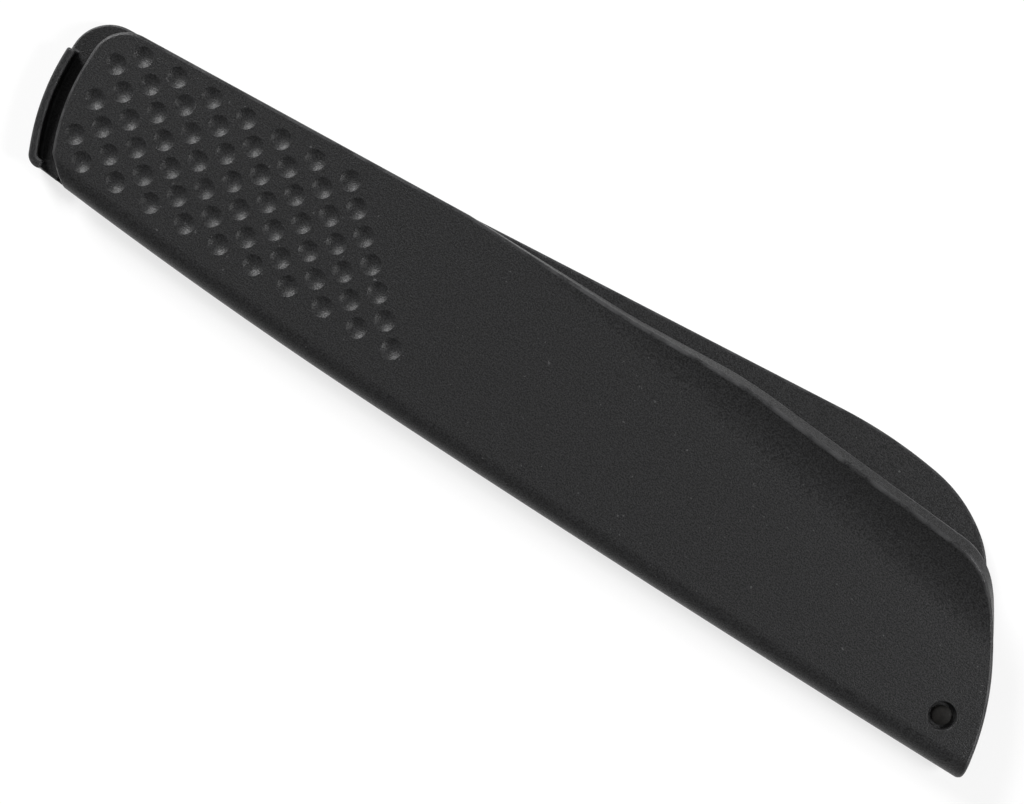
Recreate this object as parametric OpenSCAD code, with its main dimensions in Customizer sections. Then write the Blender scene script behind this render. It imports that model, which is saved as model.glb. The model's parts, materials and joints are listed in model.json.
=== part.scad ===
// Hinged magnetic guard for a cook's knife: two leaves joined along their lower edge.
// X runs along the hinge from tip to heel, Y from the hinge to the open edge, Z up
// through the closed leaves. The back leaf lies on the table. All sizes in millimetres.

/* [Leaves] */
// Length of the hinge edge, from the tip corner of the front leaf to the heel point
spine_len = 223; // [210:1:240]
// Width of the closed guard at the tip corner
tip_w = 35.5; // [34:0.5:42]
// Slope of the open edge between tip and flare, in degrees
edge_rise = 4.2; // [3:0.1:5]
// How far the rolled edge bows out beyond the hinge edge's start
bow_depth = 3.1; // [1:0.1:3.5]
// Place of the bow's deepest point along the leaf
bow_x = 80; // [60:1:110]
// Radius of the bow from there to the tip
bow_tip_r = 1220; // [1000:20:1600]
// Radius of the bow from there to the heel
bow_heel_r = 5400; // [4000:100:8000]
// Thickness of one leaf
leaf_t = 3.5; // [3.4:0.1:4.5]
// Height of the blade slot between the closed leaves
slot_h = 2.4; // [1.8:0.1:3.2]
// Outer skin over the magnets
skin_t = 1.3; // [1.1:0.1:1.5]
// Thickness of the liner plates
liner_t = 0.9; // [0.7:0.1:1.1]
// Distance from the liners to the open edge and to the bend
liner_inset = 4; // [3:0.5:6]
// Distance from the heel point to the heel end of the liners
liner_heel = 13.5; // [13:0.5:16]
// Radius that rounds the liners' corners
liner_round = 2; // [1:0.5:3]
// Clearance round a liner in its recess
liner_gap = 0.15; // [0.1:0.05:0.3]

/* [Tip] */
// How far the back leaf reaches past the start of the hinge edge
tip_reach = 15.5; // [14:0.5:18]
// Lean of the lower half of the tip side, in degrees
tip_slant = 24; // [20:1:28]
// Height of the knee between the upright and the leaning half
tip_knee = 13.1; // [12:0.1:15]
// Radius that rounds the knee
tip_bow_r = 52; // [40:1:54]
// Corner radius of the back leaf at the open edge
back_corner_r = 9; // [7:0.5:10]
// Corner radius of the front leaf at the open edge
front_corner_r = 8; // [6:0.5:9]
// Height of the corner cut off the front leaf at the hinge edge
front_foot = 4; // [3:0.1:4.5]
// Lean of that cut, in degrees
front_foot_lean = 50; // [40:1:60]
// Radius that rounds the top of that cut
front_foot_r = 4; // [2:0.5:5]
// Corner radius of the back leaf at the hinge edge
back_foot_r = 3; // [2:0.5:3.5]
// Thickness of the tip wall
wall_t = 1.9; // [1.4:0.1:2.4]
// Height of the tip wall over the floor of the back leaf
wall_h = 2.8; // [2:0.1:3.5]
// Where the tip wall ends below the open edge
wall_top = 25; // [20:0.5:28]
// Gap between the tip wall and the front leaf
tip_gap = 4; // [3:0.1:5]

/* [Heel] */
// Where the flare starts on the open edge
flare_start = 76; // [60:1:90]
// Thickness of the flared lip, a little under that of a leaf
lip_t = 3.4; // [3:0.1:3.4]
// Inner radius of the bend in the flared lip
bend_r = 17; // [16:0.5:22]
// Fall of the bend line towards the heel, in degrees
bend_fall = 7.2; // [6.5:0.1:8]
// Radius of the bowed heel side of the front leaf
heel_r = 60; // [50:1:75]
// Lean of the heel side at the hinge edge, in degrees
heel_lean = 7.3; // [5:0.1:9]
// Knees of the lip's crest seen from above, measured from the start of the flare
crest_knees = [[36, -0.1], [64, 1.5]]; // [-5:0.1:80]
// Drop of that crest from flare start to heel
crest_drop = 3; // [2:0.1:4]
// Length of the crest's corner at the heel
crest_corner = 6; // [4:0.5:8]
// Turn of the crest at each of the corner's two bends, in degrees
crest_corner_turn = 14; // [10:1:18]
// Size of the corner cut off the heel point
point_cut = 1; // [0.5:0.1:2]
// Slope of the back leaf's edge behind the flare, in degrees
sail_rise = 5.6; // [5:0.1:6]
// Distance from the heel point to the top of the back leaf's edge
sail_top = 50; // [45:1:55]
// Fall of the back leaf's edge after its top, in degrees
sail_falls = [7, 37, 64]; // [0:1:90]
// Lengths of the falling stretches of that edge
sail_runs = [20.2, 13.3]; // [10:0.1:25]
// Radii that round the back leaf's edge
sail_radii = [100, 31, 20]; // [10:1:110]

/* [Hinge] */
// Diameter of the hinge pin
pin_d = 2; // [1.6:0.1:2.4]
// Radial running clearance of the pin
pin_fit = 0.03; // [0.02:0.01:0.08]
// Outer radius of the knuckles
knuckle_r = 3; // [2.6:0.1:3.1]
// Number of knuckles, shared by the two leaves
knuckles = 12; // [6:2:16]
// Start of the first knuckle
knuckle_start = 1; // [0.8:0.1:2]
// Distance from the last knuckle to the heel point
knuckle_end = 14; // [12:0.5:20]
// Gap between neighbouring knuckles, and between leaves at the hinge
hinge_gap = 0.4; // [0.3:0.05:0.6]
// How far the rolled edge wraps round the hinge, in degrees from the top
roll_wrap = 105; // [95:1:108]
// Length of the plug behind the hinge pin
plug_len = 3.2; // [2:0.1:5]

/* [Dimples] */
// Spacing of the dimple lattice
dimple_pitch = 6; // [5.5:0.1:7]
// Diameter of a dimple
dimple_d = 4.5; // [3.5:0.1:4.8]
// Depth of a dimple
dimple_depth = 0.7; // [0.4:0.05:0.8]
// Rows of dimples across the leaf
dimple_rows = 7; // [3:1:7]
// Place of the lattice origin along the leaf
dimple_x = 17.2; // [15:0.1:20]
// Distance from the first row to the open edge
dimple_inset = 4.4; // [4:0.1:6]
// Half steps from the lattice origin to the tip end of the field
dimple_back = 5; // [3:1:5]
// Half steps from the lattice origin to the heel end of the first row
dimple_ahead = 8; // [4:1:12]

/* [Inside] */
// Length of a magnet
magnet_len = 24; // [15:1:30]
// Width of a magnet
magnet_w = 8; // [5:0.5:9]
// Clearance round a magnet in its pocket
magnet_gap = 0.1; // [0.05:0.05:0.2]
// Distance from the hinge edge to the middle of the magnets
magnet_y = 18.5; // [17.5:0.5:19]
// Middle of the first magnet along the leaf
magnet_first = 14; // [12:1:20]
// Distance from the heel point to the middle of the last magnet
magnet_last = 41; // [38:1:50]
// Width of the soft strip that the edge of the blade rests on
rest_w = 2.4; // [1.5:0.1:3]
// Depth of the groove that holds the strip
rest_groove = 0.5; // [0.3:0.1:1]
// Gap between the strip and the closed front leaf
rest_gap = 0.4; // [0.3:0.1:0.8]
// Width of the land between the strip and the liners
rest_edge = 0.6; // [0.5:0.1:1]
// How far the strip stops short of the knuckles at each end
rest_short = 3; // [1:0.5:6]
// Distance from the heel point to the rivets
rivet_back = 10.4; // [9.8:0.1:10.8]
// Distance from the hinge edge to the rivets
rivet_y = 8; // [7.7:0.1:8.5]
// Radius of the sunk hole round a rivet head
sink_r = 2.9; // [2.4:0.1:3]
// Depth of the sunk hole
sink_depth = 1.5; // [1.2:0.1:1.6]
// Radius of a rivet head
head_r = 2; // [1.5:0.1:2.2]
// Height of a rivet head
head_h = 0.9; // [0.5:0.1:1.1]
// Radius of a rivet shank
shank_r = 0.9; // [0.6:0.05:1.1]
// Half the width of the liners' tabs round the rivets
tab_r = 2.8; // [2.4:0.1:2.9]
// Corner radius of those tabs
tab_round = 1; // [0.5:0.1:1.5]

/* [Hidden] */

black = [0.075, 0.075, 0.078];
grey = [0.16, 0.16, 0.165];
steel = [0.62, 0.63, 0.65];
nickel = [0.72, 0.71, 0.69];

round_fn = 96;
bow_fn = 1440;
bow_tip_turn = 6;
bow_heel_turn = 3;
bore_fn = 48;
far = 100;
skim = 0.01;
roll_skim = 0.05;
lip_root = 2;
lip_join = 0.5;
heel_steps = 8;
wedge_skin = 0.5;
wedge_r = 30;
wedge_low = 5;
magnets = 5;

guard_t = 2 * leaf_t + slot_h;
hinge_r = guard_t / 2;
floor_edge = hinge_r + hinge_gap;
roll_clear_r = hinge_r + hinge_gap - bow_edge(-toe_gap(), bow_tip_r);
roll_web = bow_depth / 2;
bow_low = -bow_depth - roll_skim;
front_inset = wall_t + tip_gap;
knuckle_clear_r = knuckle_r + hinge_gap;
pin_r = pin_d / 2;

knuckle_pitch = (spine_len - knuckle_end - knuckle_start) / knuckles;
last_knuckle_end = spine_len - knuckle_end;
plug_x = last_knuckle_end - plug_len - hinge_gap;

heel_center = [spine_len - heel_r * cos(heel_lean), -heel_r * sin(heel_lean)];
flare_y = edge_y(flare_start);
flare_point = [flare_start, flare_y];
bend_dir = [cos(bend_fall), -sin(bend_fall)];
bend_side = [sin(bend_fall), cos(bend_fall)];
flat_angle = flat_end_angle();
point_angle = asin((point_cut + heel_low() - heel_center[1]) / heel_r);
heel_corner = heel_point(point_angle);

rest_start = floor_edge + knuckle_clear_r;
liner_edge = rest_start + rest_w + rest_edge;
rest_x = knuckle_start + rest_short;
rest_len = last_knuckle_end - rest_x - rest_short;

magnet_t = leaf_t - skin_t - liner_t;
magnet_step = (spine_len - magnet_last - magnet_first) / (magnets - 1);
rivet_at = [spine_len - rivet_back, rivet_y];

half_step = dimple_pitch / sqrt(2);
field_angle = edge_rise / 2;
dimple_origin = [dimple_x, edge_y(dimple_x) - dimple_inset];
dimple_r = (pow(dimple_d / 2, 2) + pow(dimple_depth, 2)) / (2 * dimple_depth);

sail_peak = max([for (p = back_outline()) p[1]]);
origin = [(heel_corner[0] - tip_reach) / 2, (sail_peak - bow_depth) / 2, 0];

// Height of the straight open edge over a place along the hinge
function edge_y(x) = tip_w + x * tan(edge_rise);

// Height of the bend line
function bend_y(x) = flare_y - (x - flare_start) * tan(bend_fall);

// A point on the bowed heel side
function heel_point(angle) = heel_center + heel_r * [cos(angle), sin(angle)];

// The rolled edge at the heel point, seen from above
function heel_low() = bow_edge(spine_len, bow_heel_r);

// Outermost line of the bowed edge at a place along the leaf
function bow_edge(x, r) = r - bow_depth - sqrt(r * r - pow(x - bow_x, 2));

// Where the flat part ends short of the bend line, as an angle about the heel centre
function flat_end_angle() =
    let (offset = (heel_center - flare_point) * bend_side)
    asin((-lip_join - offset) / heel_r) - bend_fall;

// Angles of the heel side's corners, evenly stepped from the bend to the heel point
function heel_angle(k) = flat_angle + (point_angle - flat_angle) * k / heel_steps;

function turned(v, angle) = [
    v[0] * cos(angle) - v[1] * sin(angle),
    v[0] * sin(angle) + v[1] * cos(angle)
];

function unit(v) = v / norm(v);

// Rounds each corner [x, y, radius] of a closed outline by a true tangent arc
function rounded(corners, steps = 10) = [
    for (i = [0 : len(corners) - 1])
        let (
            n = len(corners),
            here = [corners[i][0], corners[i][1]],
            r = len(corners[i]) > 2 ? corners[i][2] : 0,
            to_last = unit([corners[(i + n - 1) % n][0], corners[(i + n - 1) % n][1]] - here),
            to_next = unit([corners[(i + 1) % n][0], corners[(i + 1) % n][1]] - here),
            half = acos(to_last * to_next) / 2,
            center = here + unit(to_last + to_next) * r / sin(half),
            start = here + to_last * r / tan(half) - center,
            side = cross(to_last, to_next) > 0 ? -1 : 1
        )
        each r == 0
            ? [here]
            : [for (k = [0 : steps]) center + turned(start, side * (180 - 2 * half) * k / steps)]
];

// Tip side of a leaf, drawn in by inset from the back leaf's own, from the height low up
function tip_side(inset, low, foot_r, corner_r) =
    let (left = inset - tip_reach)
    [
        [tip_side_x(inset, low), low, foot_r],
        [left, knee_y(inset), tip_bow_r - inset],
        [left, edge_y(left), corner_r]
    ];

function knee_y(inset) = tip_knee + inset * tan(tip_slant / 2);

function tip_side_x(inset, y) = inset - tip_reach + (knee_y(inset) - y) * tan(tip_slant);

// The back leaf, from its toe under the front leaf round to the heel
function back_outline() =
    let (
        sail_x = spine_len - sail_top,
        a = [sail_x, flare_y + (sail_x - flare_start) * tan(sail_rise)],
        b = a + sail_runs[0] * [cos(sail_falls[0]), -sin(sail_falls[0])],
        c = b + sail_runs[1] * [cos(sail_falls[1]), -sin(sail_falls[1])],
        foot = [c[0] + (c[1] - floor_edge) / tan(sail_falls[2]), floor_edge]
    )
    rounded(concat(
        [[-toe_gap(), floor_edge], [-toe_gap(), bow_edge(-toe_gap(), bow_tip_r)]],
        tip_side(0, 0, back_foot_r, back_corner_r),
        [flare_point, rounding(a, 0), rounding(b, 1), rounding(c, 2), foot]
    ));

// A corner of the back leaf's edge with its radius
function rounding(p, i) = [p[0], p[1], sail_radii[i]];

function toe_gap() = knuckle_start - hinge_gap;

// The flat part of the front leaf, down to the outside of the rolled edge
function front_outline() =
    rounded(concat(
        [[tip_side_x(front_inset, front_foot) + (front_foot - bow_low) / tan(front_foot_lean), bow_low]],
        tip_side(front_inset, front_foot, front_foot_r, front_corner_r),
        [flare_point, flare_point + lip_join * (bend_dir - bend_side)],
        [for (k = [0 : heel_steps]) heel_point(heel_angle(k))],
        [heel_corner - (heel_corner[1] - bow_low) * [1, 1]]
    ));

// Outline that both liners share
function liner_outline(grow) =
    let (
        left = front_inset - tip_reach + liner_inset - grow,
        low = liner_edge - grow,
        heel_x = spine_len - liner_heel,
        tab_y = rivet_at[1] - tab_r + tab_round - grow
    )
    rounded([
        [left, low, liner_round],
        [left, edge_y(left) - liner_inset + grow, front_corner_r / 2],
        [flare_start, flare_y - liner_inset + grow, bend_r],
        [heel_x + grow, bend_y(heel_x) - liner_inset + grow, liner_round],
        [rivet_at[0] + tab_r + grow, tab_y, tab_round],
        [rivet_at[0] - tab_r - grow, tab_y, tab_round],
        [rivet_at[0] - tab_r - grow, low]
    ], 6);

// Crest of the flared lip seen from above, from just before the flare to past the heel
function crest_outline() =
    let (
        knee_1 = flare_point + crest_knees[0],
        knee_2 = flare_point + crest_knees[1],
        end_angle = asin((flare_y - crest_drop - heel_center[1]) / heel_r),
        end = heel_point(end_angle),
        crest_dir = unit(end - knee_2),
        corner_start = end - crest_corner * crest_dir,
        corner_mid = corner_start + crest_corner / 2 * turned(crest_dir, -crest_corner_turn)
    )
    concat(
        [flare_point - lip_root * [cos(edge_rise), 2 * sin(edge_rise)], flare_point - [0, 2 * skim]],
        [for (k = [1 : 3]) flare_point + (knee_1 - flare_point) * k / 4],
        between(knee_1, knee_2, 5),
        between(knee_2, corner_start, 8),
        [corner_start, corner_mid],
        [corner_mid + 3 * crest_corner * turned(crest_dir, -2 * crest_corner_turn)]
    );

// The lip's heel side, continued from that of the flat part
function heel_outline() = concat(
    [[0, 0], heel_center + [0, far]],
    [for (k = [-heel_steps : 1]) heel_point(heel_angle(k))],
    [heel_point(-heel_lean)]
);

// Evenly spaced points from a to just before b
function between(a, b, steps) = [for (k = [0 : steps - 1]) a + (b - a) * k / steps];

// Flared lip: the leaf's sheet bent up round a cylinder over the bend line
module flared_lip() {
    intersection() {
        bend_frame()
            along_x(-lip_root, 2 * far)
                bent_sheet();
        bend_frame()
            crest_wedge();
        linear_extrude(far)
            polygon(heel_outline());
    }
}

// X along the bend line from the flare's start, Y square to it
module bend_frame() {
    translate([flare_start, flare_y, 0])
        rotate([0, 0, -bend_fall])
            children();
}

// The lip's section: a flat root inside the leaf, then the bend
module bent_sheet() {
    translate([-lip_root, guard_t - lip_t])
        square([lip_root, lip_t]);
    intersection() {
        translate([0, guard_t + bend_r])
            difference() {
                circle(r = bend_r + lip_t, $fn = round_fn);
                circle(r = bend_r, $fn = round_fn);
            }
        square([far, guard_t + bend_r]);
    }
}

// Everything under the crest round the axis of the bend, which cuts the edge of the lip
// square to the sheet
module crest_wedge() {
    fins = [for (p = crest_outline()) each crest_fin(p - flare_point)];
    last = len(fins) - 4;
    polyhedron(points = fins, faces = concat(
        [[3, 2, 1, 0], [last, last + 1, last + 2, last + 3]],
        [for (i = [0 : 4 : last - 4], k = [0 : 3])
            let (a = i + k, b = i + (k + 1) % 4)
            each [[a, b, b + 4], [a, b + 4, a + 4]]]
    ));
}

// Four corners round the sheet's section at a place of the crest
function crest_fin(offset) =
    let (
        along = offset * bend_dir,
        angle = asin(offset * bend_side / bend_r)
    )
    [
        fin_corner(along, angle, bend_r - wedge_skin),
        fin_corner(along, angle, wedge_r),
        fin_corner(along, -wedge_low, wedge_r),
        fin_corner(along, -wedge_low, bend_r - wedge_skin)
    ];

function fin_corner(along, angle, r) = [along, r * sin(angle), guard_t + bend_r - r * cos(angle)];

// A profile drawn in Y and Z, carried along X
module along_x(from, to) {
    translate([from, 0, 0])
        rotate([90, 0, 90])
            linear_extrude(to - from)
                children();
}

module about_hinge(r, fn = round_fn) {
    translate([hinge_r, hinge_r])
        circle(r = r, $fn = fn);
}

// Knuckle places: first is 0 for the back leaf and 1 for the front leaf
module knuckle_row(first, r, grow) {
    for (i = [first : 2 : knuckles - 1])
        let (start = knuckle_start + i * knuckle_pitch)
            along_x(start - grow, start + knuckle_pitch - hinge_gap + grow)
                about_hinge(r);
}

// Section of the front leaf, with the outermost point of its roll at X = 0
module rolled_profile() {
    translate([-hinge_r, hinge_r])
        intersection() {
            circle(r = hinge_r, $fn = round_fn);
            polygon([[0, 0], [0, far], [far, far], [far, -far * tan(roll_wrap - 90)]]);
        }
    translate([-hinge_r - roll_web, hinge_r])
        square([roll_web, hinge_r]);
    translate([-far, guard_t - leaf_t])
        square([far - hinge_r, leaf_t]);
}

// That section, carried round an upright axis from the bow's deepest point to an end
module bowed_leaf(r, turn) {
    translate([bow_x, r - bow_depth, 0])
        rotate([0, 0, -90])
            rotate_extrude(angle = turn, $fn = bow_fn)
                translate([r, 0])
                    rolled_profile();
}

module magnet_places() {
    for (i = [0 : magnets - 1])
        magnet_place(i) children();
}

module magnet_place(i) {
    translate([magnet_first + i * magnet_step, magnet_y, 0])
        children();
}

// Pockets of the back leaf: liner recess, magnets and the rivet's sunk hole
module leaf_pockets() {
    translate([0, 0, leaf_t - liner_t])
        linear_extrude(far)
            polygon(liner_outline(liner_gap));
    magnet_places()
        translate([-magnet_len / 2 - magnet_gap, -magnet_w / 2 - magnet_gap, skin_t])
            cube([magnet_len + 2 * magnet_gap, magnet_w + 2 * magnet_gap, far]);
    translate([rivet_at[0], rivet_at[1], -skim]) {
        cylinder(r = sink_r, h = sink_depth + skim, $fn = bore_fn);
        cylinder(r = shank_r + pin_fit, h = leaf_t + 2 * skim, $fn = bore_fn);
    }
}

// Turns a piece of the back leaf over, onto the front leaf
module on_front() {
    translate([0, 0, guard_t])
        mirror([0, 0, 1])
            children();
}

module dimple_field() {
    for (row = [0 : dimple_rows - 1], s = [-dimple_back : dimple_ahead + row])
        if ((s + row) % 2 == 0)
            translate([dimple_origin[0], dimple_origin[1], 0])
                rotate([0, 0, field_angle])
                    translate([s * half_step, -row * half_step, guard_t - dimple_depth + dimple_r])
                        sphere(r = dimple_r, $fn = bore_fn);
}

module tip_wall() {
    inside = rounded(concat(
        [[far, wall_t]],
        tip_side(wall_t, wall_t, back_foot_r - wall_t, back_corner_r - wall_t),
        [[far, edge_y(far)]]
    ));
    difference() {
        intersection() {
            linear_extrude(leaf_t + wall_h)
                polygon(back_outline());
            translate([-far, -far, 0])
                cube([far + tip_side_x(0, 0) + back_foot_r, far + wall_top, far]);
        }
        translate([0, 0, -skim])
            linear_extrude(far)
                polygon(inside);
    }
}

module back_shell() {
    color(black)
        difference() {
            union() {
                linear_extrude(leaf_t)
                    polygon(back_outline());
                tip_wall();
                knuckle_row(0, knuckle_r, 0);
            }
            knuckle_row(1, knuckle_clear_r, hinge_gap);
            along_x(tip_side_x(front_inset, hinge_r) - hinge_gap, knuckle_start)
                intersection() {
                    about_hinge(roll_clear_r);
                    translate([-far, 0])
                        square([far + floor_edge, far]);
                }
            along_x(knuckle_start + hinge_gap, spine_len)
                about_hinge(pin_r + pin_fit, bore_fn);
            leaf_pockets();
            translate([rest_x, rest_start, leaf_t - rest_groove])
                cube([rest_len, rest_w, far]);
        }
}

module front_shell() {
    color(black)
        difference() {
            union() {
                intersection() {
                    linear_extrude(guard_t)
                        polygon(front_outline());
                    union() {
                        bowed_leaf(bow_tip_r, -bow_tip_turn);
                        bowed_leaf(bow_heel_r, bow_heel_turn);
                    }
                }
                knuckle_row(1, knuckle_r, roll_skim);
                flared_lip();
            }
            knuckle_row(0, knuckle_clear_r, hinge_gap);
            along_x(knuckle_start, spine_len + far)
                about_hinge(pin_r + pin_fit, bore_fn);
            on_front()
                leaf_pockets();
            dimple_field();
        }
}

module hinge_pin() {
    color(steel)
        along_x(knuckle_start + 2 * hinge_gap, plug_x - hinge_gap)
            about_hinge(pin_r, bore_fn);
}

module pin_plug() {
    color(black)
        along_x(plug_x, plug_x + plug_len)
            about_hinge(pin_r, bore_fn);
}

module liner() {
    difference() {
        translate([0, 0, leaf_t - liner_t])
            linear_extrude(liner_t)
                polygon(liner_outline(0));
        translate([rivet_at[0], rivet_at[1], 0])
            cylinder(r = shank_r + pin_fit, h = far, $fn = bore_fn);
    }
}

module back_liner() {
    color(grey)
        liner();
}

module front_liner() {
    color(grey)
        on_front()
            liner();
}

// Domed head in the sunk hole and a shank through shell and liner
module rivet() {
    dome_r = (head_r * head_r + head_h * head_h / 4) / head_h;
    translate([rivet_at[0], rivet_at[1], 0])
        rotate_extrude($fn = bore_fn)
            union() {
                intersection() {
                    translate([0, sink_depth - head_h])
                        square([head_r, head_h]);
                    translate([0, sink_depth - head_h + dome_r])
                        circle(r = dome_r, $fn = round_fn);
                }
                translate([0, sink_depth - skim])
                    square([shank_r, leaf_t - sink_depth + skim]);
            }
}

module back_rivet() {
    color(black)
        rivet();
}

module front_rivet() {
    color(black)
        on_front()
            rivet();
}

module edge_rest() {
    color(grey)
        translate([rest_x, rest_start, leaf_t - rest_groove])
            cube([rest_len, rest_w, rest_groove + slot_h - rest_gap]);
}

module back_magnet(i) {
    color(nickel)
        magnet_place(i)
            translate([-magnet_len / 2, -magnet_w / 2, skin_t])
                cube([magnet_len, magnet_w, magnet_t]);
}

module front_magnet(i) {
    on_front()
        back_magnet(i);
}

// Moves the guard so that the origin lies under the middle of its box, on the table
module placed() {
    translate(-origin)
        children();
}

placed() back_shell();
placed() front_shell();
placed() hinge_pin();
placed() pin_plug();
placed() back_liner();
placed() front_liner();
placed() back_rivet();
placed() front_rivet();
placed() edge_rest();
for (i = [1 : magnets]) {
    placed() back_magnet(i - 1);
    placed() front_magnet(i - 1);
}
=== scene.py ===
# %% [markdown]
# # A hinged guard for a cook's knife
# The guard is two long leaves of matte black plastic, joined along one edge by a pin and
# held shut by magnets. The back leaf lies on the table. The front leaf carries a field
# of dimples for grip, rolls over the hinge, and flares up at the heel so that a blade
# finds its way in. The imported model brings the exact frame, and this notebook builds
# the two leaves again with rounded rims and gives every piece its finish.

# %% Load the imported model
import json
import math

import bpy
from mathutils import Matrix, Vector


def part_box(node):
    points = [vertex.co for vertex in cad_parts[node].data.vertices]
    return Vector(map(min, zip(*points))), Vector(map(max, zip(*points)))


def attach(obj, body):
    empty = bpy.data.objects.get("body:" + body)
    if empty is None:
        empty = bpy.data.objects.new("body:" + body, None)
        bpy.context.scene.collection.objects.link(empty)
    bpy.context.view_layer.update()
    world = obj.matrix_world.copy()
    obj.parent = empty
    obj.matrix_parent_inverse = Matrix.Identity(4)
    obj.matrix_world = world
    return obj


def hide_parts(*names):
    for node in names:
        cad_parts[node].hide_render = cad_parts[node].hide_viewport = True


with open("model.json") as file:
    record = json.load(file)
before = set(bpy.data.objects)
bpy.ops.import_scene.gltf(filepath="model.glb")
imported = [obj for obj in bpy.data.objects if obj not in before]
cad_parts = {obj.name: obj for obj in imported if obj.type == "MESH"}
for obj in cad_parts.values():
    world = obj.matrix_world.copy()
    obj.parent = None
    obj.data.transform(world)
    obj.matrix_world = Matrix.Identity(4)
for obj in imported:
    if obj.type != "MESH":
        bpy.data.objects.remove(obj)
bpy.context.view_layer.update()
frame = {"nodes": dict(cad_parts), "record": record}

# %% [markdown]
# The leaves are drawn in millimetres, from the point where the hinge edge starts at the
# tip: X runs along the hinge, Y across the leaves and Z up from the table. The packed
# back leaf and hinge pin tell where that point lies, so a finished leaf goes there with
# no fitting.

# %% Sizes shared by both leaves, in millimetres
TIP_REACH = 15.5
SPINE = 223.0
TIP_WIDTH = 35.5
EDGE_SLOPE = math.tan(math.radians(4.2))
LEAF = 3.5
GUARD = 9.4
ROLL = GUARD / 2
FLARE_START = 76.0
FLARE = Vector((FLARE_START, TIP_WIDTH + FLARE_START * EDGE_SLOPE))
TIP_SLANT = math.radians(24)
TIP_KNEE = 13.1
TIP_BOW_RADIUS = 52.0
WALL = 1.9
TIP_GAP = 4.0
FRONT_INSET = WALL + TIP_GAP

back_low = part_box("back_shell")[0]
pin_low, pin_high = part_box("hinge_pin")
pin_middle = (pin_low + pin_high) / 2
hinge_corner = Vector((back_low.x, pin_middle.y, pin_middle.z))
HINGE_START = hinge_corner - Vector((-TIP_REACH, ROLL, ROLL)) / 1000
print("the hinge edge starts at", HINGE_START)

# %% [markdown]
# The leaves are built with Blender's own tools, the same that a click in a menu would
# start: edit mode for faces and edges, modifiers for bevels and cuts. Every tool works on
# what is selected, so the helpers select first. A modifier is applied at once, because
# the next step needs the mesh that it makes.

# %% Helpers for selecting, editing and finishing
RIM_SEGMENTS = 4
RIM_ANGLE = math.radians(60)


def only(piece):
    """Selects one object alone and makes it the active one."""
    bpy.ops.object.select_all(action="DESELECT")
    piece.select_set(True)
    bpy.context.view_layer.objects.active = piece


def edit(piece, pick="SELECT", mode="VERT"):
    """Opens edit mode with all of the mesh selected, or none of it."""
    only(piece)
    bpy.ops.object.mode_set(mode="EDIT")
    bpy.ops.mesh.select_mode(type=mode)
    bpy.ops.mesh.select_all(action=pick)


def close_edit():
    """Leaves edit mode, which writes the mesh back to its object."""
    bpy.ops.object.mode_set(mode="OBJECT")


def close_up():
    """Turns all faces outward and leaves edit mode."""
    bpy.ops.mesh.select_all(action="SELECT")
    bpy.ops.mesh.normals_make_consistent(inside=False)
    close_edit()


def apply_modifier(piece, kind, **settings):
    """Adds a modifier, sets it up and applies it."""
    only(piece)
    modifier = piece.modifiers.new(kind.title(), kind)
    for key, value in settings.items():
        setattr(modifier, key, value)
    bpy.ops.object.modifier_apply(modifier=modifier.name)


def round_rim(piece, width):
    """Rounds the sharp edges. The new faces take the second of two material slots."""
    for _ in range(2):
        piece.data.materials.append(None)
    apply_modifier(
        piece, "BEVEL", width=width, segments=RIM_SEGMENTS, limit_method="ANGLE", material=1,
        angle_limit=RIM_ANGLE, use_clamp_overlap=False, loop_slide=False,
    )


def combine(piece, other, operation):
    """Joins, cuts or intersects a piece with another, which is then removed."""
    apply_modifier(piece, "BOOLEAN", object=other, operation=operation, solver="EXACT")
    bpy.data.objects.remove(other)


def join(pieces):
    """Makes one object of several."""
    only(pieces[0])
    for piece in pieces[1:]:
        piece.select_set(True)
    bpy.ops.object.join()
    return pieces[0]


def settle(piece):
    """Brings a finished leaf from its millimetres into the frame's metres."""
    only(piece)
    bpy.ops.object.transform_apply(location=True, rotation=True, scale=True)
    piece.data.transform(Matrix.Translation(HINGE_START) @ Matrix.Scale(0.001, 4))
    piece.data.update()
    print(piece.name, "has", len(piece.data.polygons), "faces")


# %% [markdown]
# ## Outlines
# Both leaves are cut from a flat outline. A circle primitive gives one face with as many
# corners as the outline has, and its rim is then pulled onto the outline. Rounded
# corners are true arcs, because a polygon corner would catch the light.


# %% Outlines with rounded corners
def rounded(corners, chord=0.6):
    """Points along a closed outline whose corners are (x, y) or (x, y, radius)."""
    points = []
    for i, corner in enumerate(corners):
        here = Vector(corner[:2])
        if len(corner) == 2:
            points.append(here)
            continue
        radius = corner[2]
        to_last = (Vector(corners[i - 1][:2]) - here).normalized()
        to_next = (Vector(corners[(i + 1) % len(corners)][:2]) - here).normalized()
        half = to_last.angle(to_next) / 2
        centre = here + (to_last + to_next).normalized() * radius / math.sin(half)
        start = here + to_last * radius / math.tan(half) - centre
        sweep = math.pi - 2 * half
        steps = max(3, min(16, round(radius * sweep / chord)))
        side = -1 if to_last.cross(to_next) > 0 else 1
        for k in range(steps + 1):
            angle = side * sweep * k / steps
            turn = Matrix.Rotation(angle, 2)
            points.append(centre + turn @ start)
    return points


def outline_face(name, points):
    """One flat face, facing up, on an outline."""
    bpy.ops.object.select_all(action="DESELECT")
    bpy.ops.mesh.primitive_circle_add(vertices=len(points), fill_type="NGON")
    face = bpy.context.object
    face.name = name
    for vertex, point in zip(face.data.vertices, points):
        vertex.co = (point[0], point[1], 0)
    face.data.update()
    if face.data.polygons[0].normal.z < 0:
        edit(face)
        bpy.ops.mesh.flip_normals()
        close_edit()
    return face


def edge_y(x):
    """The straight open edge over a place along the hinge."""
    return TIP_WIDTH + x * EDGE_SLOPE


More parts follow.
